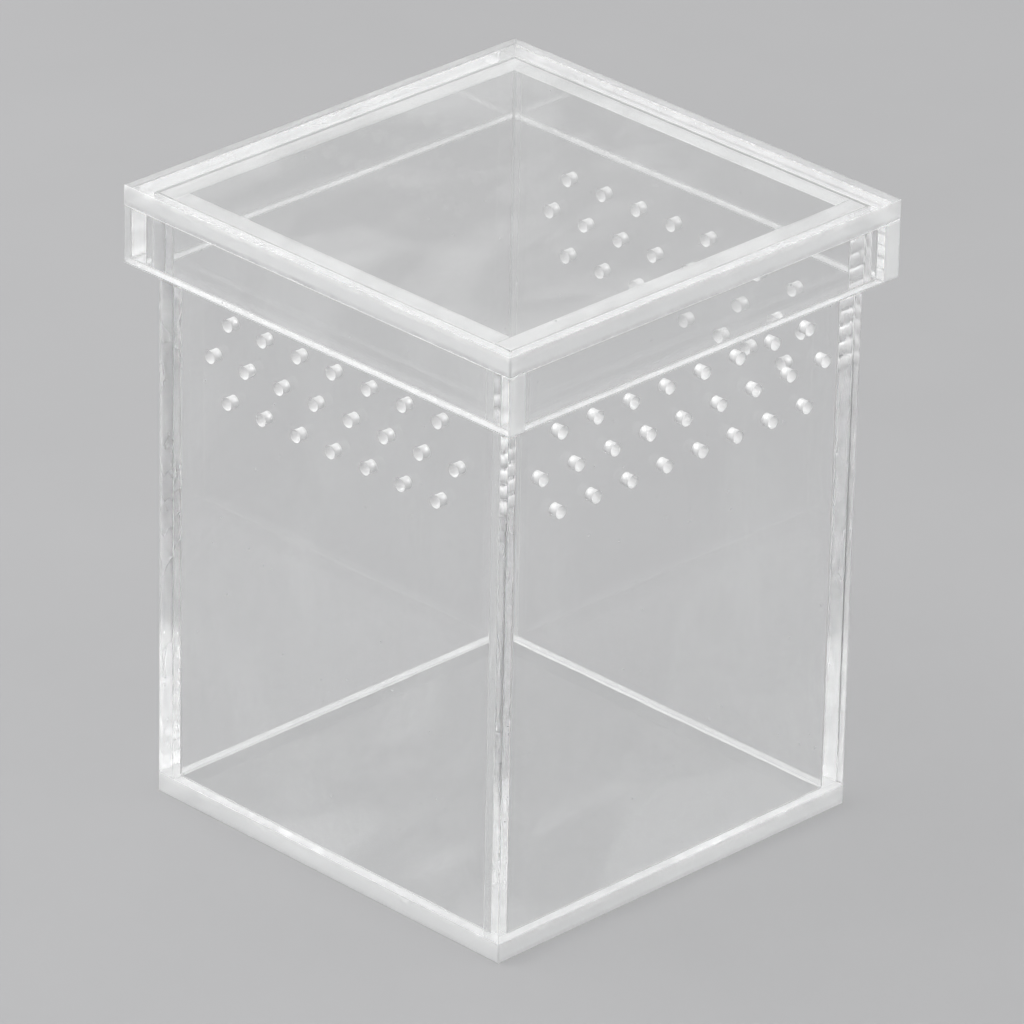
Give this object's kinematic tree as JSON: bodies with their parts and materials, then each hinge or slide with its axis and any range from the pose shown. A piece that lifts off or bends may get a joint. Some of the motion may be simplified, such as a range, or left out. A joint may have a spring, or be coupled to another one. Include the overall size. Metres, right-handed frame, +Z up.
{
  "type": "queen cage",
  "caption": "Small square clear acrylic box for a queen bee, with staggered vent holes in three walls and a loose cap lid that lifts off.",
  "frame": {"origin": "centre of the base plate's underside, on the surface that the cage stands on", "axes": "+Z up, out of the box's mouth and the way the lid lifts; -Y out of the front wall, which has the most vent holes; +Y out of the plain back wall"},
  "size_m": [0.077, 0.077, 0.096],
  "materials": {
    "clear_acrylic": "gloss"
  },
  "bodies": {
    "box": {"base_plate": "clear_acrylic", "front_wall": "clear_acrylic", "back_wall": "clear_acrylic", "left_wall": "clear_acrylic", "right_wall": "clear_acrylic"},
    "lid": {"lid_top": "clear_acrylic", "lid_left_strip": "clear_acrylic", "lid_right_strip": "clear_acrylic", "lid_front_strip": "clear_acrylic", "lid_back_strip": "clear_acrylic"}
  },
  "joints": [
    {"name": "lid_lift", "type": "slide", "parent": "box", "child": "lid", "axis": [0, 0, 1], "range_m": [0, 0.04]}
  ]
}
